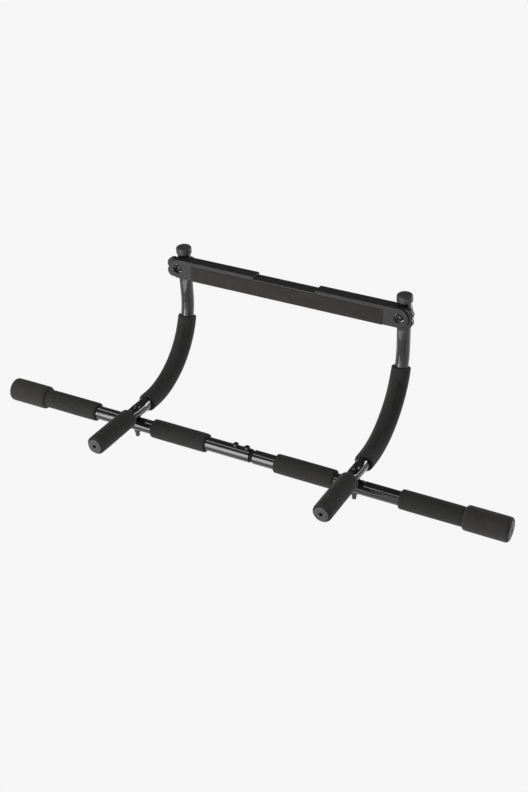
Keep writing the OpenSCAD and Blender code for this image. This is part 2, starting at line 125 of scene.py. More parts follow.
class Graph:
    """A material's node tree with short calls for the nodes that the finishes share."""

    def __init__(self, name: str) -> None:
        """Starts an empty material whose coordinates are the part's own, in metres.

        Args:
            name: The material's name.
        """
        self.material = bpy.data.materials.new(name)
        self.material.use_nodes = True
        self.tree = self.material.node_tree
        self.tree.nodes.clear()
        self.place = self.node("ShaderNodeTexCoord").outputs["Object"]

    def node(self, kind: str, **settings: object) -> bpy.types.Node:
        """Adds a node.

        Args:
            kind: The node's type name.
            settings: Attributes set on the node.

        Returns:
            The new node.
        """
        made = self.tree.nodes.new(kind)
        for name, value in settings.items():
            setattr(made, name, value)
        return made

    def feed(self, socket: Socket, value: object) -> None:
        """Links a value into a socket if it is a socket, or else sets it there.

        Args:
            socket: The input to fill.
            value: A socket to link or a plain value.
        """
        if isinstance(value, Socket):
            self.tree.links.new(value, socket)
        else:
            socket.default_value = value

    def grain(self, layer: Layer) -> Socket:
        """Fractal noise.

        Args:
            layer: The noise's settings.

        Returns:
            The noise value, 0 to 1.
        """
        mapping = self.node("ShaderNodeMapping")
        self.feed(mapping.inputs["Vector"], self.place)
        mapping.inputs["Scale"].default_value = layer.stretch
        made = self.node("ShaderNodeTexNoise")
        self.feed(made.inputs["Vector"], mapping.outputs["Vector"])
        made.inputs["Scale"].default_value = layer.scale
        made.inputs["Detail"].default_value = layer.detail
        made.inputs["Roughness"].default_value = layer.roughness
        return made.outputs["Fac"]

    def cells(self, scale: float, smooth: float = 0.4) -> Socket:
        """Distance inside soft cells, such as a foam skin's pebbles.

        Args:
            scale: Cells per metre.
            smooth: How far neighbouring cells melt together.

        Returns:
            The distance from each cell's centre.
        """
        made = self.node("ShaderNodeTexVoronoi", feature="SMOOTH_F1")
        self.feed(made.inputs["Vector"], self.place)
        made.inputs["Scale"].default_value = scale
        made.inputs["Smoothness"].default_value = smooth
        return made.outputs["Distance"]

    def spread(
        self, value: Socket, low: float, high: float, start: float = 0.3, end: float = 0.7
    ) -> Socket:
        """Maps the useful middle of a noise value onto a range.

        Args:
            value: The value to map.
            low: Result at start.
            high: Result at end.
            start: Input mapped to low.
            end: Input mapped to high.

        Returns:
            The mapped value.
        """
        made = self.node("ShaderNodeMapRange")
        self.feed(made.inputs["Value"], value)
        made.inputs["From Min"].default_value = start
        made.inputs["From Max"].default_value = end
        made.inputs["To Min"].default_value = low
        made.inputs["To Max"].default_value = high
        return made.outputs["Result"]

    def tint(self, value: Socket, colour: Colour, tones: Tones) -> Socket:
        """Makes a colour lighter and darker along a value.

        Args:
            value: The ramp's position, 0 to 1.
            colour: The linear colour.
            tones: Pairs of position and brightness factor.

        Returns:
            The ramp's colour.
        """
        made = self.node("ShaderNodeValToRGB")
        self.feed(made.inputs["Fac"], value)
        ramp = made.color_ramp
        for position, _ in tones[1:-1]:
            ramp.elements.new(position)
        for element, (position, factor) in zip(ramp.elements, tones):
            element.position = position
            element.color = (*shade(colour, factor), 1.0)
        return made.outputs["Color"]

    def sum(self, parts: Iterable[tuple[Socket, float]]) -> Socket:
        """Adds weighted values.

        Args:
            parts: Pairs of value and weight.

        Returns:
            The weighted sum.
        """
        total: Socket | float = 0.0
        for value, weight in parts:
            made = self.node("ShaderNodeMath", operation="MULTIPLY_ADD")
            self.feed(made.inputs[0], value)
            made.inputs[1].default_value = weight
            self.feed(made.inputs[2], total)
            total = made.outputs["Value"]
        return total

    def relief(
        self, height: Socket, depth: float, strength: float = 1.0, under: Socket | None = None
    ) -> Socket:
        """Turns a height into a bumped normal.

        Args:
            height: The height, 0 to 1.
            depth: Metres between heights 0 and 1.
            strength: Share of the effect.
            under: A coarser bump that this one lies on.

        Returns:
            The normal.
        """
        made = self.node("ShaderNodeBump")
        self.feed(made.inputs["Height"], height)
        made.inputs["Distance"].default_value = depth
        made.inputs["Strength"].default_value = strength
        if under is not None:
            self.feed(made.inputs["Normal"], under)
        return made.outputs["Normal"]

    def surface(self, **inputs: object) -> Material:
        """Finishes the material with one principled shader.

        Args:
            inputs: Shader inputs, with spaces written as underscores.

        Returns:
            The finished material.
        """
        shader = self.node("ShaderNodeBsdfPrincipled")
        for name, value in inputs.items():
            self.feed(shader.inputs[name.replace("_", " ")], value)
        output = self.node("ShaderNodeOutputMaterial")
        self.feed(output.inputs["Surface"], shader.outputs["BSDF"])
        return self.material


def shade(colour: Colour, factor: float) -> Colour:
    """Makes a colour lighter or darker.

    Args:
        colour: The linear colour.
        factor: What each channel is multiplied by.

    Returns:
        The new colour.
    """
    return tuple(channel * factor for channel in colour)


# ---- Finishes ----


@dataclass(frozen=True)
class GlossEnamel:
    """Black powder coat with a deep gloss, light orange peel and faint handling marks."""

    name: str = "gloss_enamel"
    colour: Colour = (0.011, 0.011, 0.012)
    tones: Tones = ((0.3, 0.8), (0.75, 1.35))
    wear: Layer = Layer(38.0, 4.0, 0.6)
    marks: Layer = Layer(160.0, 5.0, 0.65, (0.25, 1.0, 1.0))
    peel: Layer = Layer(420.0, 2.0, 0.4)
    peel_depth: float = 0.004 * MM
    gloss: float = 0.16
    gloss_spread: float = 0.1
    coat_gloss: float = 0.07
    coat_ior: float = 1.5
    under_shine: float = 0.08

    def material(self) -> Material:
        """Builds the material."""
        g = Graph(self.name)
        peel = g.relief(g.grain(self.peel), self.peel_depth)
        return g.surface(
            Base_Color=g.tint(g.grain(self.wear), self.colour, self.tones),
            Roughness=g.spread(g.grain(self.marks), self.gloss, self.gloss + self.gloss_spread),
            Coat_Weight=1.0,
            Coat_Roughness=self.coat_gloss,
            Coat_IOR=self.coat_ior,
            Specular_IOR_Level=self.under_shine,
            Normal=peel,
            Coat_Normal=peel,
        )


@dataclass(frozen=True)
class FoamSkin:
    """Closed-cell foam: a dull, fine pebbled skin with soft mottling."""

    name: str
    colour: Colour
    tones: Tones = ((0.3, 0.72), (0.5, 1.0), (0.72, 1.45))
    blotches: Layer = Layer(26.0, 4.0, 0.62)
    blotch_share: float = 0.55
    specks: Layer = Layer(240.0, 4.0, 0.7)
    speck_share: float = 0.45
    pebbles_per_metre: float = 900.0
    pebble_depth: float = 0.16 * MM
    pebble_share: float = 0.7
    pores_per_pebble: float = 2.3
    pore_detail: float = 3.0
    pore_roughness: float = 0.7
    pore_share: float = 0.5
    skin_strength: float = 0.9
    dents: Layer = Layer(70.0, 3.0, 0.5)
    dent_depth: float = 0.5 * MM
    dent_strength: float = 0.35
    dullness: float = 0.82
    dullness_spread: float = 0.14
    shine: float = 0.35
    sheen: float = 0.08
    sheen_dullness: float = 0.5

    def material(self) -> Material:
        """Builds the material."""
        g = Graph(self.name)
        mottle = g.sum([
            (g.grain(self.blotches), self.blotch_share), (g.grain(self.specks), self.speck_share),
        ])
        pore_scale = self.pebbles_per_metre * self.pores_per_pebble
        pores = g.grain(Layer(pore_scale, self.pore_detail, self.pore_roughness))
        pebbles = g.cells(self.pebbles_per_metre)
        skin = g.sum([(pebbles, self.pebble_share), (pores, self.pore_share)])
        dents = g.relief(g.grain(self.dents), self.dent_depth, self.dent_strength)
        return g.surface(
            Base_Color=g.tint(mottle, self.colour, self.tones),
            Roughness=g.spread(pores, self.dullness, self.dullness + self.dullness_spread),
            Specular_IOR_Level=self.shine,
            Sheen_Weight=self.sheen,
            Sheen_Roughness=self.sheen_dullness,
            Normal=g.relief(skin, self.pebble_depth, self.skin_strength, dents),
        )


@dataclass(frozen=True)
class MouldedPlastic:
    """Satin moulded plastic with a spark-eroded grain and slight flow shading."""

    name: str
    colour: Colour
    satin: float = 0.42
    satin_spread: float = 0.14
    shine: float = 0.5
    tones: Tones = ((0.3, 0.86), (0.52, 1.0), (0.75, 1.18))
    flow: Layer = Layer(14.0, 3.0, 0.5, (0.35, 1.0, 1.0))
    flow_share: float = 0.6
    rubs: Layer = Layer(120.0, 5.0, 0.7, (0.3, 1.0, 1.6))
    rub_share: float = 0.4
    grain: Layer = Layer(2100.0, 2.0, 0.6)
    grain_depth: float = 0.03 * MM
    grain_strength: float = 0.8

    def material(self) -> Material:
        """Builds the material."""
        g = Graph(self.name)
        rubs = g.grain(self.rubs)
        shading = g.sum([(g.grain(self.flow), self.flow_share), (rubs, self.rub_share)])
        return g.surface(
            Base_Color=g.tint(shading, self.colour, self.tones),
            Roughness=g.spread(rubs, self.satin, self.satin + self.satin_spread),
            Specular_IOR_Level=self.shine,
            Normal=g.relief(g.grain(self.grain), self.grain_depth, self.grain_strength),
        )


@dataclass(frozen=True)
class DullRubber:
    """Dull rubber with a fine speckled texture, for the wall pad, and in near black for the real
    neck, where it is painted shade for the gap between the bar's tubes.
    """

    name: str
    colour: Colour
    tones: Tones = ((0.3, 0.8), (0.5, 1.0), (0.7, 1.25))
    mottle: Layer = Layer(45.0, 4.0, 0.6)
    mottle_share: float = 0.6
    speckle: Layer = Layer(900.0, 3.0, 0.7)
    speckle_share: float = 0.4
    speckle_depth: float = 0.12 * MM
    speckle_strength: float = 0.8
    dullness: tuple[float, float] = (0.78, 0.95)
    shine: float = 0.3

    def material(self) -> Material:
        """Builds the material."""
        g = Graph(self.name)
        speckle = g.grain(self.speckle)
        shading = g.sum([
            (g.grain(self.mottle), self.mottle_share), (speckle, self.speckle_share),
        ])
        return g.surface(
            Base_Color=g.tint(shading, self.colour, self.tones),
            Roughness=g.spread(speckle, *self.dullness),
            Specular_IOR_Level=self.shine,
            Normal=g.relief(speckle, self.speckle_depth, self.speckle_strength),
        )


@dataclass(frozen=True)
class PlatedSteel:
    """Plated or blackened steel with fine turning marks."""

    name: str
    colour: Colour
    gloss: float
    gloss_spread: float = 0.16
    tones: Tones = ((0.3, 0.75), (0.7, 1.2))
    stain: Layer = Layer(220.0, 4.0, 0.6)
    turning: Layer = Layer(2600.0, 2.0, 0.6)
    turning_depth: float = 0.02 * MM
    turning_strength: float = 0.6

    def material(self) -> Material:
        """Builds the material."""
        g = Graph(self.name)
        stain = g.grain(self.stain)
        return g.surface(
            Base_Color=g.tint(stain, self.colour, self.tones),
            Metallic=1.0,
            Roughness=g.spread(stain, self.gloss, self.gloss + self.gloss_spread),
            Normal=g.relief(g.grain(self.turning), self.turning_depth, self.turning_strength),
        )


@dataclass
class Finishes:
    """Every material of the part, built once."""

    foam: Colour = (0.0160, 0.0152, 0.0144)
    bumper_lift: float = 1.45

    def __post_init__(self) -> None:
        """Builds the materials by slot, and the two that differ from their slot's."""
        recipes = {
            Slot.TUBE: GlossEnamel(),
            Slot.HARDWARE: PlatedSteel("black_oxide", (0.075, 0.075, 0.076), gloss=0.34),
            Slot.ZINC: PlatedSteel("zinc_plate", (0.55, 0.55, 0.56), gloss=0.3),
            Slot.GRIP: FoamSkin("grip_foam_skin", self.foam),
            Slot.BUMPER: FoamSkin(
                "bumper_foam_skin",
                shade(self.foam, self.bumper_lift),
                pebbles_per_metre=1100.0,
                pebble_depth=0.12 * MM,
            ),
            Slot.BEAM: MouldedPlastic(
                "beam_plastic", (0.0140, 0.0138, 0.0134), satin=0.4, shine=0.36
            ),
            Slot.PAD: DullRubber("pad_rubber", (0.027, 0.0235, 0.0225)),
            Slot.PLUG: MouldedPlastic("plug_plastic", (0.043, 0.043, 0.043), satin=0.38),
        }
        self.by_slot: dict[Slot, Material] = {
            slot: recipe.material() for slot, recipe in recipes.items()
        }
        self.cap = MouldedPlastic("cap_plastic", (0.036, 0.036, 0.0355), satin=0.36).material()
        # The neck's dull near-black finish is painted shade: it darkens the real neck to stand
        # for the shade in the narrow gap between the two tubes.
        self.bare_neck = DullRubber("bare_neck", (0.006, 0.006, 0.006)).material()

    def dress(self, piece: Piece, slot: Slot) -> None:
        """Gives a piece its slot's material.

        Args:
            piece: The piece to dress.
            slot: Its material slot in the record.
        """
        piece.data.materials.clear()
        piece.data.materials.append(self.by_slot[slot])


# ---- Mesh making ----


def ring_mesh(name: str, rings: Sequence[np.ndarray], loop: bool, poles: bool) -> Piece:
    """Skins rings of equal point count into one smooth mesh.

    Args:
        name: The object's name.
        rings: Arrays of points, each ring in the same order.
        loop: Whether the last ring joins the first, as on a hollow sleeve.
        poles: Whether both end rings are closed by a fan to their centre.

    Returns:
        The new object, linked to the scene.
    """
    count = len(rings[0])
    points = [tuple(p) for ring in rings for p in ring]
    faces: list[tuple[int, ...]] = []
    spans = len(rings) if loop else len(rings) - 1
    for i in range(spans):
        a, b = i * count, ((i + 1) % len(rings)) * count
        for j in range(count):
            k = (j + 1) % count
            faces.append((a + j, a + k, b + k, b + j))
    if poles:
        for start in (0, (len(rings) - 1) * count):
            points.append(tuple(np.mean(points[start : start + count], axis=0)))
            for j in range(count):
                faces.append((start + j, start + (j + 1) % count, len(points) - 1))
    mesh = bpy.data.meshes.new(name)
    mesh.from_pydata(points, [], faces)
    mesh.validate()
    piece = bpy.data.objects.new(name, mesh)
    bpy.context.scene.collection.objects.link(piece)
    outward(piece)
    return piece


def outward(piece: Piece, crease_deg: float = 38.0) -> None:
    """Turns a closed mesh's normals outward and smooths it.

    Args:
        piece: The mesh object.
        crease_deg: Edges sharper than this stay sharp.
    """
    work = bmesh.new()
    work.from_mesh(piece.data)
    bmesh.ops.recalc_face_normals(work, faces=work.faces)
    work.to_mesh(piece.data)
    work.free()
    piece.data.shade_smooth()
    piece.data.set_sharp_from_angle(angle=math.radians(crease_deg))


def arc(
    centre: tuple[float, float], radius: float, start_deg: float, end_deg: float, steps: int
) -> Profile:
    """Points along an arc in a half section.

    Args:
        centre: Axial place and radius of the arc's centre.
        radius: The arc's radius.
        start_deg: First angle, from the axial direction towards the outside.
        end_deg: Last angle.
        steps: Number of spans.

    Returns:
        Pairs of axial place and radius, both ends included.
    """
    turn = [math.radians(start_deg + (end_deg - start_deg) * i / steps) for i in range(steps + 1)]
    return [(centre[0] + radius * math.cos(t), centre[1] + radius * math.sin(t)) for t in turn]


def turned(
    name: str, profile: Profile, place: Matrix, loop: bool = False, count: int = 72
) -> Piece:
    """Makes a part turned about its local +X axis.

    Args:
        name: The object's name.
        profile: Pairs of axial place and radius, in order round the half section.
        place: Where the local frame stands.
        loop: Whether the half section is a closed loop clear of the axis.
        count: Points round each ring.

    Returns:
        The new object.
    """
    turns = [2 * math.pi * j / count for j in range(count)]
    rings = [
        np.array([
            place @ Vector((along, radius * math.cos(angle), radius * math.sin(angle)))
            for angle in turns
        ])
        for along, radius in profile
    ]
    return ring_mesh(name, rings, loop, not loop)


def facing(point: Vector, axis: Vector) -> Matrix:
    """Makes a frame at a point.

    Args:
        point: The frame's origin.
        axis: Where its +X looks.

    Returns:
        The frame.
    """
    return Matrix.Translation(point) @ axis.to_track_quat("X", "Z").to_matrix().to_4x4()


def centre_of(node: str) -> Vector:
    """Finds a CAD node's centre.

    Args:
        node: The node's name.

    Returns:
        The centre of its box.
    """
    low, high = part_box(node)
    return (low + high) / 2


# ---- Foam ----


@dataclass
class FoamSleeve:
    """A cut length of foam tubing pushed over a steel tube.

    It is drawn along any centre line: rings stand across the line, the skin swells and
    dips a little, and both cut ends have a soft rounded edge. The far end can have a
    pocket for a plug's flange.
    """

    node: str
    slot: Slot
    outer: float
    inner: float
    edge: float
    swell: float = 0.16 * MM
    end_squeeze: float = 0.35 * MM
    spacing: float = 3.0 * MM
    around: int = 96
    pocket: float = 0.0
    pocket_h: float = 0.0
    lip: float = 0.6 * MM
    edge_steps: int = 6
    waves_per_metre: float = 22.0
    waves_around: float = 1.1
    pinch_length: float = 5.0 * MM

    def half_section(self, length: float) -> Profile:
        """The sleeve's outline from bore to bore over the outside.

        Args:
            length: The sleeve's length along its line.

        Returns:
            Pairs of place along the line and radius, round the closed half section.
        """
        edge = self.edge
        lip = self.lip
        first = arc((edge, self.outer - edge), edge, 180, 90, self.edge_steps)
        last = arc((length - edge, self.outer - edge), edge, 90, 0, self.edge_steps)
        steps = max(2, round((length - 2 * edge) / self.spacing))
        skin = [(edge + (length - 2 * edge) * i / steps, self.outer) for i in range(1, steps)]
        if self.pocket:
            floor = length - self.pocket_h
            mouth = [(length, self.pocket), (floor, self.pocket), (floor, self.inner)]
        else:
            mouth = [(length, self.inner + lip), (length - lip, self.inner)]
        bore = [(length / 2, self.inner), (lip, self.inner), (0.0, self.inner + lip)]
        return first + skin + last + mouth + bore

    def softness(self, along: float, length: float, angle: float, seed: float) -> float:
        """How far the skin stands from a perfect tube at one point.

        Args:
            along: Place along the line.
            length: The sleeve's length.
            angle: Angle round the tube.
            seed: Keeps the sleeves apart.

        Returns:
            The offset in metres.
        """
        wave = noise.noise(Vector((
            along * self.waves_per_metre + seed,
            math.cos(angle) * self.waves_around,
            math.sin(angle) * self.waves_around,
        )))
        near_end = min(along, length - along)
        pinch = self.end_squeeze * math.exp(-near_end / self.pinch_length)
        return self.swell * wave - pinch

    def build(self, length: float, line: Callable[[float], Matrix], finishes: Finishes) -> Piece:
        """Makes the sleeve.

        Args:
            length: Length along the line.
            line: Gives the frame at a place along the line, with +X along it.
            finishes: The part's materials.

        Returns:
            The finished piece, which replaces its node.
        """
        seed = float(sum(map(ord, self.node)) % SEED_RANGE)
        rings = []
        for along, radius in self.half_section(length):
            here = line(along)
            on_skin = radius > max(self.inner + self.edge, self.pocket)
            ring = []
            for j in range(self.around):
                angle = 2 * math.pi * j / self.around
                soft = self.softness(along, length, angle, seed) if on_skin else 0.0
                reach = radius + soft
                ring.append(
                    here @ Vector((0.0, reach * math.cos(angle), reach * math.sin(angle)))
                )
            rings.append(np.array(ring))
        piece = ring_mesh(f"{self.node}_sleeve", rings, True, False)
        finishes.dress(piece, self.slot)
        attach(piece, BODY)
        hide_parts(self.node)
        return piece


# ---- Plugs ----


@dataclass
class EndPlug:
    """A push-in end plug: a rounded, grooved flange with a vent hole and a ribbed stem."""

    node: str
    stem: float
    flange_h: float
    edge: float = 2.0 * MM
    groove_place: float = 0.62
    groove_w: float = 1.1 * MM
    groove_h: float = 0.45 * MM
    vent: float = 3.25 * MM
    wall: float = 1.5 * MM
    rib_count: int = 4
    rib_h: float = 0.4 * MM
    rib_share: float = 0.25
    soft: float = 0.35 * MM
    rim_steps: int = 8

    def profile(self, flange: float, stem_length: float) -> Profile:
        """The half section from the vent hole out over the flange and back up the stem.

        Args:
            flange: The flange's radius.
            stem_length: Length of the stem behind the flange.

        Returns:
            Pairs of axial place and radius; the flange's seat is at 0.
        """
        top = self.flange_h
        groove = flange * self.groove_place
        face = [
            (0.0, self.vent), (top - self.soft, self.vent), (top, self.vent + self.soft),
            (top, groove - self.groove_w), (top - self.groove_h, groove - self.groove_w / 2),
            (top - self.groove_h, groove + self.groove_w / 2), (top, groove + self.groove_w),
        ]
        rim = arc((top - self.edge, flange - self.edge), self.edge, 0, 90, self.rim_steps)
        stem = [(0.0, flange), (0.0, self.stem)]
        pitch = stem_length / (self.rib_count + 1)
        slope = pitch * self.rib_share
        valley = self.stem - self.rib_h
        for i in range(1, self.rib_count + 1):
            crest = -pitch * i
            stem += [(crest + slope, valley), (crest, self.stem), (crest - slope, valley)]
        tip = valley - self.rib_h
        inside = [(-stem_length, tip), (-stem_length, tip - self.wall), (0.0, tip - self.wall)]
        return face + rim + stem + inside

    def build(
        self, flange: float, stem_length: float, place: Matrix, finishes: Finishes
    ) -> Piece:
        """Makes the plug.

        Args:
            flange: The flange's radius.
            stem_length: Length of the stem.
            place: Frame at the flange's seat, with +X pointing out.
            finishes: The part's materials.

        Returns:
            The finished piece, which replaces its node.
        """
        piece = turned(f"{self.node}_plug", self.profile(flange, stem_length), place, loop=True)
        finishes.dress(piece, Slot.PLUG)
        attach(piece, BODY)
        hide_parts(self.node)
        return piece


@dataclass
class TubeCap:
    """A moulded cap pushed over a tube's end, with a dished top, a dimple and a thin lip."""

    node: str
    height: float
    outer: float
    inner: float
    top_t: float = 3.0 * MM
    edge: float = 4.0 * MM
    lip: float = 0.5 * MM
    dish: float = 0.35 * MM
    dish_place: float = 0.45
    crown_place: float = 0.8
    dimple: float = 2.2 * MM
    dimple_h: float = 1.6 * MM
    dimple_floor: float = 0.7
    rim_steps: int = 10

    def profile(self) -> Profile:
        """The half section from the top's centre over the outside to the bore's floor."""
        crown = self.outer - self.edge
        dish = self.height - self.dish
        pit = dish - self.dimple_h
        top = [
            (pit, 0.0), (pit, self.dimple * self.dimple_floor), (dish, self.dimple),
            (dish, crown * self.dish_place), (self.height, crown * self.crown_place),
        ]
        rim = arc((self.height - self.edge, crown), self.edge, 0, 90, self.rim_steps)
        skirt = [
            (self.lip, self.outer), (0.0, self.outer - self.lip),
            (0.0, self.inner + self.lip), (self.lip, self.inner),
        ]
        floor = self.height - self.top_t
        return top + rim + skirt + [(floor, self.inner), (floor, 0.0)]

    def build(self, place: Matrix, finishes: Finishes) -> Piece:
        """Makes the cap.

        Args:
            place: Frame at the cap's open end, with +X pointing out.
            finishes: The part's materials.

        Returns:
            The finished piece, which replaces its node.
        """
        piece = turned(f"{self.node}_cap", self.profile(), place)
        piece.data.materials.append(finishes.cap)
        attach(piece, BODY)
        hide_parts(self.node)
        return piece


# ---- The long bar ----


@dataclass
class LongBar:
    """The two-piece bar with its plugs, bumpers and hand grips."""

    finishes: Finishes
    grip_edge: float = 2.0 * MM
    bumper_edge: float = 5.0 * MM
    plug_h: float = 3.0 * MM
    plug_play: float = 0.3 * MM
    wall: float = 1.5 * MM
    neck_gap: float = 5.5 * MM
    neck_play: float = 0.3 * MM
    shoulder: float = 2.5 * MM
    roll: float = 0.6 * MM
    around: int = 96

    def __post_init__(self) -> None:
        """Reads the bar's axis and radius from its tube."""
        low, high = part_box("bar_left_tube")
        self.axis = (low + high) / 2
        self.radius = (high.z - low.z) / 2

    def line(self, start: float, side: Side) -> Callable[[float], Matrix]:
        """Makes the bar's centre line from a place towards one end.

        Args:
            start: The place along X.
            side: The end that it runs to.

        Returns:
            A function from the distance along the line to the frame there.
        """
        ahead = Vector((side.value, 0, 0))
        first = Vector((start, self.axis.y, self.axis.z))
        return lambda along: facing(first + ahead * along, ahead)

    def sleeve(self, node: str, slot: Slot, edge: float, side: Side) -> Piece:
        """Makes the foam sleeve that stands in a node's place.

        Args:
            node: The CAD node.
            slot: Its material slot.
            edge: Radius of its rounded ends.
            side: Which half of the bar it is on.

        Returns:
            The sleeve.
        """
        low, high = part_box(node)
        start = low.x if side is Side.RIGHT else high.x
        made = FoamSleeve(node, slot, (high.z - low.z) / 2, self.radius, edge)
        if slot is Slot.BUMPER:
            plug_low, plug_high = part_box(f"bar_plug_{side.word}")
            made.pocket = (plug_high.z - plug_low.z) / 2 + self.plug_play
            proud = plug_high.x - high.x if side is Side.RIGHT else low.x - plug_low.x
            made.pocket_h = self.plug_h - proud
        return made.build(high.x - low.x, self.line(start, side), self.finishes)

    def plug(self, side: Side) -> Piece:
        """Makes an end plug.

        Args:
            side: Which end of the bar it closes.

        Returns:
            The plug.
        """
        node = f"bar_plug_{side.word}"
        low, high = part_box(node)
        seat = (high.x if side is Side.RIGHT else low.x) - side.value * self.plug_h
        place = facing(Vector((seat, self.axis.y, self.axis.z)), Vector((side.value, 0, 0)))
        stem = high.x - low.x - self.plug_h
        made = EndPlug(node, self.radius - self.wall, self.plug_h)
        return made.build((high.z - low.z) / 2, stem, place, self.finishes)

    def right_tube(self) -> list[Piece]:
        """Makes the right tube and its real neck, whose dull near-black finish is painted shade
        in the gap between the tubes.
        """
        node = "bar_right_tube"
        low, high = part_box(node)
        neck_start, seam = low.x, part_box("bar_left_tube")[1].x
        shoulder = seam + self.neck_gap
        full = shoulder + self.shoulder
        neck = self.radius - self.wall - self.neck_play
        place = Matrix.Translation((0.0, self.axis.y, self.axis.z))
        tube_line = [
            (shoulder, neck), (full - self.roll, self.radius - self.roll), (full, self.radius),
            (high.x, self.radius), (high.x, self.radius - self.wall),
            (full, self.radius - self.wall), (shoulder, neck - self.wall),
        ]
        neck_line = [
            (neck_start, neck), (shoulder, neck),
            (shoulder, neck - self.wall), (neck_start, neck - self.wall),
        ]
        pieces = []
        for word, line, material in (
            ("enamel", tube_line, self.finishes.by_slot[Slot.TUBE]),
            # The neck's dull near-black finish is painted shade for the gap between the tubes.
            ("neck", neck_line, self.finishes.bare_neck),
        ):
            piece = turned(f"{node}_{word}", line, place, loop=True, count=self.around)
            piece.data.materials.append(material)
            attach(piece, BODY)
            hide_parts(node)
            pieces.append(piece)
        return pieces

    def build(self) -> list[Piece]:
        """Makes the sleeves, the plugs and the right tube, and dresses the left tube.

        Returns:
            The bar's new pieces.
        """
        self.finishes.dress(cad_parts["bar_left_tube"], Slot.TUBE)
        pieces = self.right_tube()
        for side in Side:
            for name, slot, edge in (
                ("bumper", Slot.BUMPER, self.bumper_edge),
                ("outer_grip", Slot.GRIP, self.grip_edge),
                ("inner_grip", Slot.GRIP, self.grip_edge),
            ):
                pieces.append(self.sleeve(f"{name}_{side.word}", slot, edge, side))
            pieces.append(self.plug(side))
        return pieces


# ---- Arms ----


@dataclass(frozen=True)
class Press:
    """A flat pressed into a tube, with its slope start, flat start, flat end and slope end."""

    places: tuple[float, float, float, float]
    depth: float

    def at(self, along: float) -> float:
        """Finds how deep the tube is pressed.

        Args:
            along: Place along the tube.

        Returns:
            The depth, which rises smoothly over each slope.
        """
        slope_in, flat_in, flat_out, slope_out = self.places
        if along < flat_in:
            share = (along - slope_in) / (flat_in - slope_in)
        else:
            share = (slope_out - along) / (slope_out - flat_out)
        share = min(max(share, 0.0), 1.0)
        return self.depth * share * share * (3 - 2 * share)


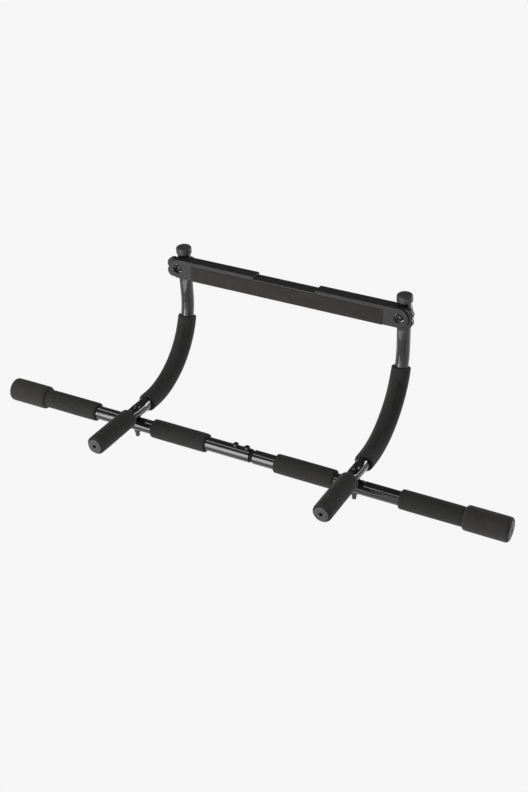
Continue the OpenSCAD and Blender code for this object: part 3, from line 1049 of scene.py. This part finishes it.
@dataclass
class Arm:
    """One J-shaped arm: its bent tube with two pressed flats, two sleeves, plug and cap."""

    side: Side
    finishes: Finishes
    tube: float = 12.0 * MM
    wall: float = 1.5 * MM
    bend: float = 140.0 * MM
    lean_deg: float = 4.3
    set_back: float = 26.4 * MM
    top_rise: float = 14.0 * MM
    press_depth: float = 3.5 * MM
    cross_flat: float = 11.0 * MM
    cross_ramp: float = 13.0 * MM
    beam_flat: float = 21.0 * MM
    ramp_gap: float = 2.0 * MM
    top_ramp: float = 1.0 * MM
    spread: float = 0.035
    crease: float = 0.5 * MM
    spacing: float = 2.5 * MM
    foam_start: float = 34.0 * MM
    foam_deg: float = 78.0
    foam_edge: float = 2.0 * MM
    plug_h: float = 4.0 * MM
    cap_h: float = 12.0 * MM
    cap_top_t: float = 3.0 * MM
    around: int = 96

    def __post_init__(self) -> None:
        """Works out the arm's centre line from the frame."""
        word = self.side.word
        arm_low, arm_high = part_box(f"arm_{word}")
        self.x = (arm_low.x + arm_high.x) / 2
        self.base_z = centre_of(f"handle_grip_{word}").z
        self.start_y = arm_low.y
        self.bar_y = centre_of("bar_left_tube").y
        beam_low, beam_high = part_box(f"beam_shell_{word}")
        bolt_z = centre_of("beam_bolts").z
        lean = math.radians(self.lean_deg)
        bolt_y = beam_low.y + self.set_back
        leant = (bolt_z - self.base_z - self.bend) * math.tan(lean)
        self.bend_y = bolt_y + leant - self.bend / math.cos(lean)
        self.bend_z = self.base_z + self.bend
        self.turn = math.pi / 2 + lean
        self.base_length = self.bend_y - self.start_y
        self.bend_length = self.bend * self.turn
        top_z = self.bend_z + self.bend * math.sin(lean)
        self.top_length = (beam_high.z + self.top_rise - top_z) / math.cos(lean)
        self.length = self.base_length + self.bend_length + self.top_length
        bolt_rise = (bolt_z - top_z) / math.cos(lean)
        self.bolt_along = self.base_length + self.bend_length + bolt_rise
        self.cross_along = self.bar_y - self.start_y

    def line(self, along: float) -> Matrix:
        """The frame at a place along the arm.

        Args:
            along: Distance from the handle's end.

        Returns:
            A frame with +X along the tube and +Z towards the inside of the bend.
        """
        bent = min(max(along - self.base_length, 0.0), self.bend_length) / self.bend
        ahead = Vector((0, math.cos(bent), math.sin(bent)))
        inside = Vector((0, -math.sin(bent), math.cos(bent)))
        if along <= self.base_length:
            point = Vector((self.x, self.start_y + along, self.base_z))
        else:
            point = Vector((self.x, self.bend_y, self.bend_z)) - inside * self.bend
            point += ahead * max(along - self.base_length - self.bend_length, 0.0)
        side = inside.cross(ahead)
        turn = Matrix((ahead, side, inside)).transposed().to_4x4()
        return Matrix.Translation(point) @ turn

    def presses(self) -> list[Press]:
        """The flats under the crossing bolt and behind the beam."""
        cross, bolt = self.cross_along, self.bolt_along
        slope = self.base_length + self.bend_length + self.ramp_gap
        at_bar = (
            cross - self.cross_flat - self.cross_ramp,
            cross - self.cross_flat,
            cross + self.cross_flat,
            cross + self.cross_flat + self.cross_ramp,
        )
        at_beam = (
            slope,
            bolt - self.beam_flat,
            bolt + self.beam_flat,
            bolt + self.beam_flat + self.top_ramp,
        )
        return [Press(at_bar, self.press_depth), Press(at_beam, self.press_depth)]

    def section(self, radius: float, depth: float) -> Profile:
        """The tube's section with its inner-bend side pressed flat.

        Args:
            radius: Radius of the round tube.
            depth: How deep it is pressed.

        Returns:
            Pairs of sideways place and place towards the inside of the bend.
        """
        level = radius - depth
        points = []
        for j in range(self.around):
            angle = 2 * math.pi * j / self.around
            side, rise = radius * math.cos(angle), radius * math.sin(angle)
            if depth > 0:
                below = math.exp((level - rise) / self.crease)
                rise = level - self.crease * math.log1p(below)
                side *= 1 + self.spread * depth / self.press_depth * max(0.0, math.sin(angle))
            points.append((side, rise))
        return points

    def tube_piece(self) -> Piece:
        """Makes the bent, pressed and hollow tube."""
        steps = round(self.length / self.spacing)
        places = [self.length * i / steps for i in range(steps + 1)]
        presses = self.presses()
        rings = []
        for radius, order in ((self.tube, places), (self.tube - self.wall, places[::-1])):
            for along in order:
                depth = max(press.at(along) for press in presses)
                here = self.line(along)
                section = self.section(radius, depth)
                rings.append(np.array([here @ Vector((0.0, *point)) for point in section]))
        node = f"arm_{self.side.word}"
        piece = ring_mesh(f"{node}_tube", rings, True, False)
        self.finishes.dress(piece, Slot.TUBE)
        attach(piece, BODY)
        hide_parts(node)
        return piece

    def sleeve(self, node: str, start: float, end: float) -> Piece:
        """Makes the foam between two places along the arm.

        Args:
            node: The CAD node.
            start: Where it starts along the arm.
            end: Where it ends.

        Returns:
            The sleeve.
        """
        low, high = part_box(node)
        made = FoamSleeve(node, Slot.GRIP, (high.x - low.x) / 2, self.tube, self.foam_edge)
        return made.build(end - start, lambda along: self.line(start + along), self.finishes)

    def plug(self, node: str) -> Piece:
        """Makes the plug in the handle's end.

        Args:
            node: The CAD node.

        Returns:
            The plug.
        """
        low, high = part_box(node)
        place = facing(self.line(0.0).translation, Vector((0, -1, 0)))
        stem = high.y - low.y - self.plug_h
        made = EndPlug(node, self.tube - self.wall, self.plug_h)
        return made.build((high.x - low.x) / 2, stem, place, self.finishes)

    def cap(self, node: str) -> Piece:
        """Makes the cap over the tube's upper end.

        Args:
            node: The CAD node.

        Returns:
            The cap.
        """
        low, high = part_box(node)
        here = self.line(self.length - (self.cap_h - self.cap_top_t))
        place = facing(here.translation, here.to_3x3() @ Vector((1, 0, 0)))
        made = TubeCap(node, self.cap_h, (high.x - low.x) / 2, self.tube, self.cap_top_t)
        return made.build(place, self.finishes)

    def build(self) -> list[Piece]:
        """Makes the arm's pieces.

        Returns:
            The tube, its two foam sleeves, its plug and its cap.
        """
        word = self.side.word
        grip_low, grip_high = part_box(f"handle_grip_{word}")
        foam_in = self.cross_along + self.foam_start
        foam_out = self.base_length + self.bend * math.radians(self.foam_deg)
        return [
            self.tube_piece(),
            self.sleeve(f"handle_grip_{word}", 0.0, grip_high.y - grip_low.y),
            self.sleeve(f"arm_foam_{word}", foam_in, foam_out),
            self.plug(f"handle_plug_{word}"),
            self.cap(f"top_cap_{word}"),
        ]


# ---- Beam and hardware ----


@dataclass
class Beam:
    """The beam: its steel core, moulded shells and pad."""

    finishes: Finishes
    pad_edge: float = 0.5 * MM
    pad_bevel: float = 0.3
    long_steps: int = 60
    short_steps: int = 14

    def pad(self) -> Piece:
        """Makes the wall pad with softly rounded edges."""
        low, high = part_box("beam_pad")
        edge, bevel = self.pad_edge, self.pad_bevel * self.pad_edge
        outline = self.outline(low, high)
        rings = []
        for y, inset in (
            (high.y, 0.0), (low.y + edge, 0.0), (low.y + bevel, bevel), (low.y, edge),
        ):
            ring = [self.inset_point(point, low, high, inset, y) for point in outline]
            rings.append(np.array(ring))
        piece = ring_mesh("beam_pad_strip", rings, False, True)
        self.finishes.dress(piece, Slot.PAD)
        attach(piece, BODY)
        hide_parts("beam_pad")
        return piece

    def outline(self, low: Vector, high: Vector) -> list[tuple[float, float]]:
        """Finds points round the pad's face.

        Args:
            low: The pad's low corner.
            high: Its high corner.

        Returns:
            Pairs of X and Z.
        """
        corners = [(low.x, low.z), (high.x, low.z), (high.x, high.z), (low.x, high.z)]
        points = []
        for i, (x, z) in enumerate(corners):
            next_x, next_z = corners[(i + 1) % len(corners)]
            steps = self.long_steps if z == next_z else self.short_steps
            for j in range(steps):
                share = j / steps
                points.append((x + (next_x - x) * share, z + (next_z - z) * share))
        return points

    def inset_point(
        self, point: tuple[float, float], low: Vector, high: Vector, inset: float, y: float
    ) -> Place:
        """Moves an outline point inwards.

        Args:
            point: Its X and Z.
            low: The pad's low corner.
            high: Its high corner.
            inset: How far it moves in from the edges.
            y: The ring's Y.

        Returns:
            The moved point.
        """
        x = min(max(point[0], low.x + inset), high.x - inset)
        z = min(max(point[1], low.z + inset), high.z - inset)
        return (x, y, z)

    def build(self) -> list[Piece]:
        """Makes the pad and dresses the shells and core.

        Returns:
            The beam's new pieces.
        """
        for node in ("beam_shell_left", "beam_shell_middle", "beam_shell_right"):
            self.finishes.dress(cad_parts[node], Slot.BEAM)
        self.finishes.dress(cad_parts["beam_core"], Slot.ZINC)
        return [self.pad()]


@dataclass
class Hardware:
    """Bolts, screws, washers, nuts and bushings, which keep their CAD shape."""

    finishes: Finishes

    def build(self) -> list[Piece]:
        """Dresses the hardware nodes.

        Returns:
            No new pieces.
        """
        for node in (
            "joint_screws", "cross_bolts", "cross_washers", "cross_bushings",
            "beam_bolts", "beam_saddle_washers", "beam_cap_nuts",
        ):
            self.finishes.dress(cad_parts[node], Slot.HARDWARE)
        self.finishes.dress(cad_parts["joint_nuts"], Slot.ZINC)
        return []


# ---- Studio ----


@dataclass(frozen=True)
class Softbox:
    """A rectangular soft light."""

    name: str
    at: Place
    aim: Place
    size: tuple[float, float]
    radiance: float
    in_gloss: bool = True

    def build(self) -> Piece:
        """Makes the light, out of the camera's sight."""
        data = bpy.data.lights.new(self.name, "AREA")
        data.shape = "RECTANGLE"
        data.size, data.size_y = self.size
        data.energy = self.radiance * math.pi * self.size[0] * self.size[1]
        lamp = bpy.data.objects.new(self.name, data)
        lamp.location = self.at
        ahead = Vector(self.aim) - Vector(self.at)
        lamp.rotation_euler = ahead.to_track_quat("-Z", "Y").to_euler()
        lamp.visible_camera = False
        lamp.visible_glossy = self.in_gloss
        bpy.context.scene.collection.objects.link(lamp)
        return lamp


SOFTBOXES = (
    Softbox("key_softbox", (-1.06, -2.2, 0.03), (0.0, -0.15, -0.2), (0.88, 1.45), 7.5),
    Softbox("low_softbox", (-1.06, -2.2, -0.98), (0.0, -0.15, -0.2), (0.88, 0.5), 2.6),
    Softbox("fill_panel", (-0.6, -3.2, 0.3), (0.0, 0.0, -0.1), (4.5, 3.0), 1.0),
    Softbox("top_panel", (0.2, 0.3, 2.2), (0.0, 0.0, 0.0), (2.5, 2.0), 1.0, in_gloss=False),
    Softbox("back_strip", (1.35, 1.9, 0.3), (0.0, 0.0, -0.1), (0.45, 1.6), 11.0),
    Softbox("edge_strip", (-0.8, -0.8, 1.6), (0.0, -0.1, -0.1), (2.2, 0.18), 7.0),
)


@dataclass
class Studio:
    """Pale floor and backdrop, soft lights and the camera."""

    pale: float = 0.922
    floor_drop: float = 2.4
    floor_radius: float = 28.0
    floor_sides: int = 96
    dome_radius: float = 30.0
    dome_segments: int = 48
    dome_rings: int = 24
    azimuth_deg: float = 27.63
    elevation_deg: float = 30.23
    distance: float = 2.1
    aim: Place = (0.03754, -0.1441, -0.11755)
    lens_mm: float = 56.84
    sensor_mm: float = 36.0
    sight: float = 100.0
    ambient: float = 0.12

    def plain(self, name: str, strength: float) -> Material:
        """Makes a plain glowing material for the floor and backdrop.

        Args:
            name: The material's name.
            strength: Its grey level.

        Returns:
            The material.
        """
        g = Graph(name)
        glow = g.node("ShaderNodeEmission")
        glow.inputs["Color"].default_value = (strength, strength, strength, 1.0)
        output = g.node("ShaderNodeOutputMaterial")
        g.feed(output.inputs["Surface"], glow.outputs["Emission"])
        return g.material

    def floor(self) -> None:
        """Makes the floor and the backdrop dome around it."""
        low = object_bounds()[0]
        material = self.plain("pale_studio", self.pale)
        bpy.ops.mesh.primitive_circle_add(
            vertices=self.floor_sides,
            radius=self.floor_radius,
            fill_type="NGON",
            location=(0, 0, low[2] - self.floor_drop),
        )
        floor = bpy.context.object
        floor.name = "studio_floor"
        bpy.ops.mesh.primitive_uv_sphere_add(
            segments=self.dome_segments, ring_count=self.dome_rings, radius=self.dome_radius
        )
        dome = bpy.context.object
        dome.name = "studio_backdrop"
        dome.visible_glossy = False
        dome.visible_diffuse = False
        dome.visible_transmission = False
        dome.visible_shadow = False
        for stage in (floor, dome):
            stage.data.materials.append(material)
            stage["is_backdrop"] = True

    def lights(self) -> None:
        """Makes the lights and the dim room."""
        world = bpy.data.worlds.new("studio_world")
        world.use_nodes = True
        background = world.node_tree.nodes["Background"]
        grey = (self.ambient, self.ambient, self.ambient, 1.0)
        background.inputs["Color"].default_value = grey
        bpy.context.scene.world = world
        for softbox in SOFTBOXES:
            softbox.build()

    def camera(self) -> None:
        """Makes the camera."""
        azimuth, elevation = math.radians(self.azimuth_deg), math.radians(self.elevation_deg)
        back = Vector((
            math.sin(azimuth) * math.cos(elevation),
            -math.cos(azimuth) * math.cos(elevation),
            math.sin(elevation),
        ))
        data = bpy.data.cameras.new("camera")
        data.lens = self.lens_mm
        data.sensor_width = self.sensor_mm
        data.clip_end = self.sight
        camera = bpy.data.objects.new("camera", data)
        camera.location = Vector(self.aim) + back * self.distance
        camera.rotation_euler = (-back).to_track_quat("-Z", "Y").to_euler()
        bpy.context.scene.collection.objects.link(camera)
        bpy.context.scene.camera = camera

    def build(self) -> None:
        """Sets the whole studio up."""
        self.camera()
        self.floor()
        self.lights()
        bpy.context.scene.view_settings.view_transform = "Standard"


def main() -> None:
    """Builds every sub-assembly in order and reports its pieces."""
    finishes = Finishes()
    Studio().build()
    arms = [Arm(side, finishes) for side in Side]
    assemblies = [LongBar(finishes), *arms, Beam(finishes), Hardware(finishes)]
    for assembly in assemblies:
        for piece in assembly.build():
            log.info("%s: %d faces", piece.name, len(piece.data.polygons))


if __name__ == "__main__":
    main()
